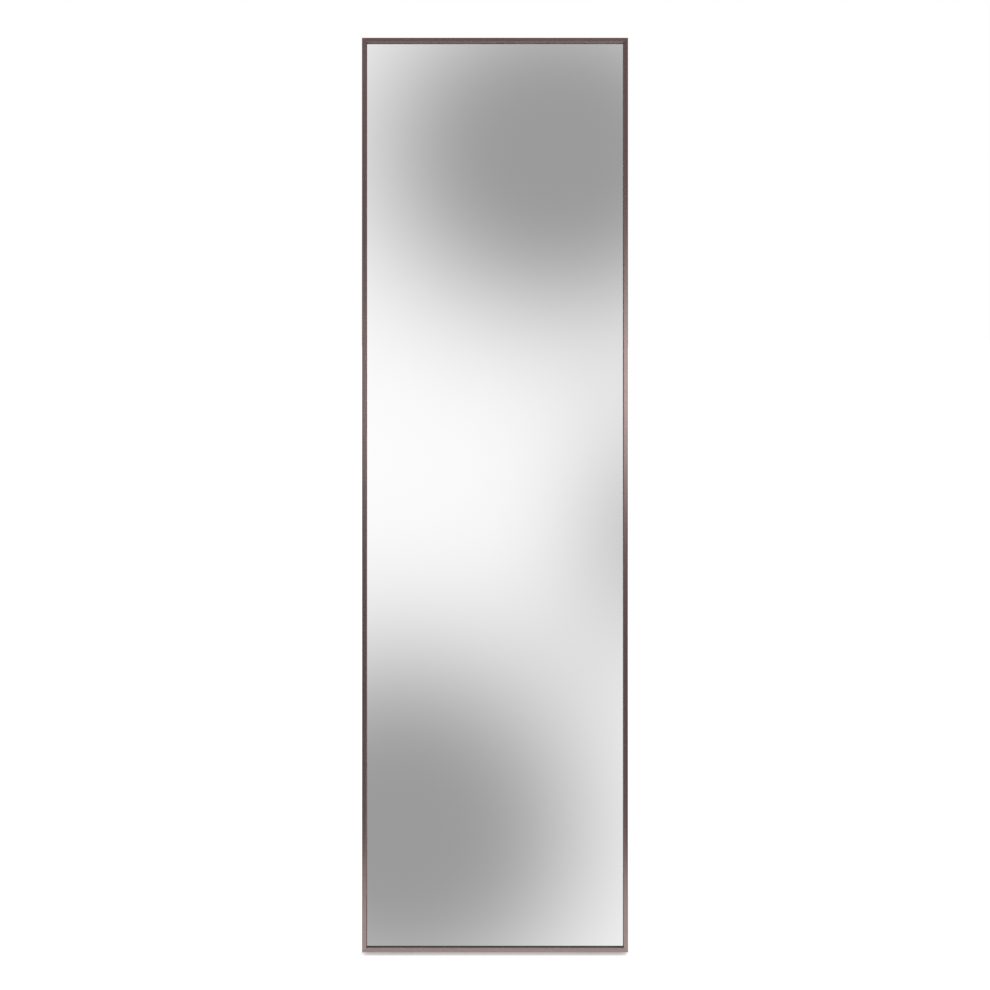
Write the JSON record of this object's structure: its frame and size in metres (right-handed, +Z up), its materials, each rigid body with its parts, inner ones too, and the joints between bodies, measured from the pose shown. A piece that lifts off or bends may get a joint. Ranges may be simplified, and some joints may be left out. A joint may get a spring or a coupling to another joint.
{
  "type": "floor mirror",
  "caption": "Tall rectangular floor mirror in a thin satin bronze frame, leaning back on a hinged fold-flat tube stand.",
  "frame": {"origin": "on the floor, under the middle of the standing mirror's footprint", "axes": "+Z up; the glass faces -Y and leans back towards +Y; +X is to the right of a viewer in front of the glass"},
  "size_m": [0.48, 0.3515, 1.6365],
  "materials": {
    "frame_bronze": "satin",
    "mirror_glass": "polished",
    "back_film": "satin",
    "foam": "matte",
    "backing_board": "matte",
    "zinc_steel": "satin",
    "spring_steel": "satin",
    "bracket_paint": "satin",
    "stand_paint": "satin",
    "nylon": "satin",
    "rubber": "matte"
  },
  "bodies": {
    "mirror": {"rail_top": "frame_bronze", "rail_bottom": "frame_bronze", "rail_left": "frame_bronze", "rail_right": "frame_bronze", "mirror_glass": "mirror_glass", "safety_film": "back_film", "foam_sheet": "foam", "backing_board": "backing_board", "corner_key_top_left": "zinc_steel", "corner_shim_top_left": "zinc_steel", "corner_key_top_right": "zinc_steel", "corner_shim_top_right": "zinc_steel", "corner_key_bottom_left": "zinc_steel", "corner_shim_bottom_left": "zinc_steel", "corner_key_bottom_right": "zinc_steel", "corner_shim_bottom_right": "zinc_steel", "corner_set_screws": "zinc_steel", "spring_clips": "spring_steel", "floor_pad_left": "rubber", "bracket_left": "bracket_paint", "pivot_washers_left": "nylon", "pivot_bolt_left": "zinc_steel", "lock_nut_left": "zinc_steel", "hanger_left": "zinc_steel", "bracket_nut_plate_left": "zinc_steel", "hanger_nut_plate_left": "zinc_steel", "floor_pad_right": "rubber", "bracket_right": "bracket_paint", "pivot_washers_right": "nylon", "pivot_bolt_right": "zinc_steel", "lock_nut_right": "zinc_steel", "hanger_right": "zinc_steel", "bracket_nut_plate_right": "zinc_steel", "hanger_nut_plate_right": "zinc_steel", "bracket_screws": "zinc_steel", "hanger_screws": "zinc_steel"},
    "stand": {"leg_tube_left": "stand_paint", "pivot_bush_left": "nylon", "leg_plug_left": "nylon", "leg_tip_left": "rubber", "leg_tube_right": "stand_paint", "pivot_bush_right": "nylon", "leg_plug_right": "nylon", "leg_tip_right": "rubber", "cross_bar_upper": "stand_paint", "cross_bar_lower": "stand_paint"}
  },
  "joints": [
    {"name": "stand_fold", "type": "hinge", "parent": "mirror", "child": "stand", "pos_m": [0, 0.02321, 0.99795], "axis": [1, 0, 0], "range_deg": [-17, 0]}
  ]
}
